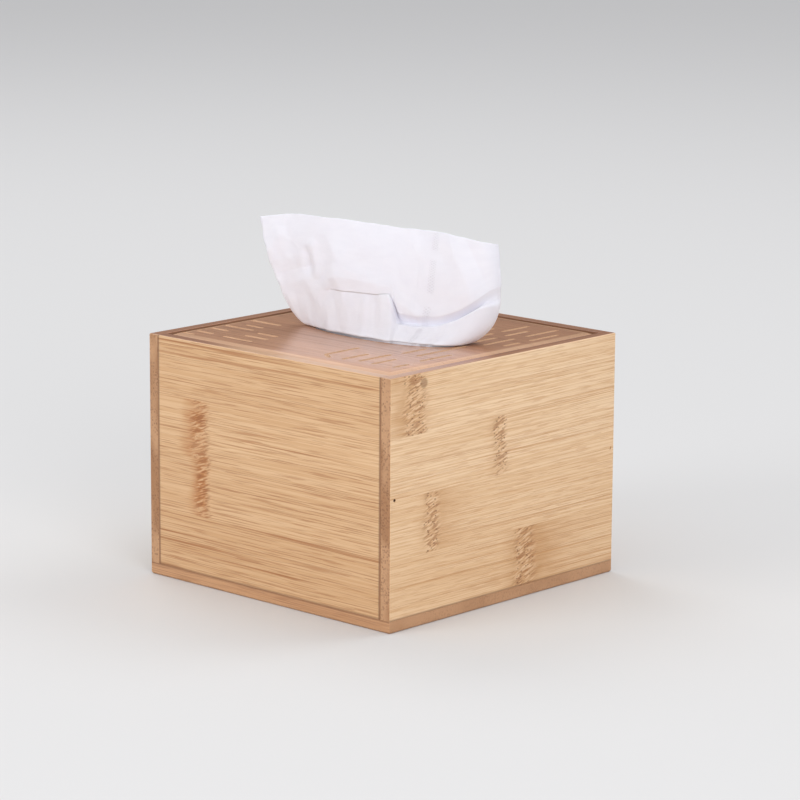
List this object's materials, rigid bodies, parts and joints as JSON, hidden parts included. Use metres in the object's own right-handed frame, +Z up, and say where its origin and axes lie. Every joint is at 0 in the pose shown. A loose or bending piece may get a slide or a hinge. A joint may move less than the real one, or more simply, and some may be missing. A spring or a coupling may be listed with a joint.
{
  "type": "tissue box",
  "caption": "Square bamboo tissue box with a lift-off cover, oval slot in an inset engraved top, loose base, folded pack inside and a pulled-up sheet.",
  "frame": {"origin": "middle of the base board's underside, where the box stands", "axes": "+Z up, +X to the right along the slot, -Y towards the front wall"},
  "size_m": [0.135, 0.135, 0.143],
  "materials": {
    "bamboo_wall": "satin",
    "bamboo_top": "satin",
    "bamboo_base": "satin",
    "pin_steel": "matte",
    "tissue": "matte"
  },
  "bodies": {
    "base": {"base_board": "bamboo_base", "locating_board": "bamboo_base", "tissue_pack": "tissue"},
    "cover": {"front_wall": "bamboo_wall", "back_wall": "bamboo_wall", "left_wall": "bamboo_wall", "right_wall": "bamboo_wall", "top_board": "bamboo_top", "corner_pins": "pin_steel"},
    "sheet": {"pulled_sheet": "tissue"}
  },
  "joints": [
    {"name": "cover_lift", "type": "slide", "parent": "base", "child": "cover", "axis": [0, 0, 1], "range_m": [0, 0.09]},
    {"name": "tissue_pull", "type": "slide", "parent": "cover", "child": "sheet", "axis": [0, 0, 1], "range_m": [0, 0.056]}
  ]
}
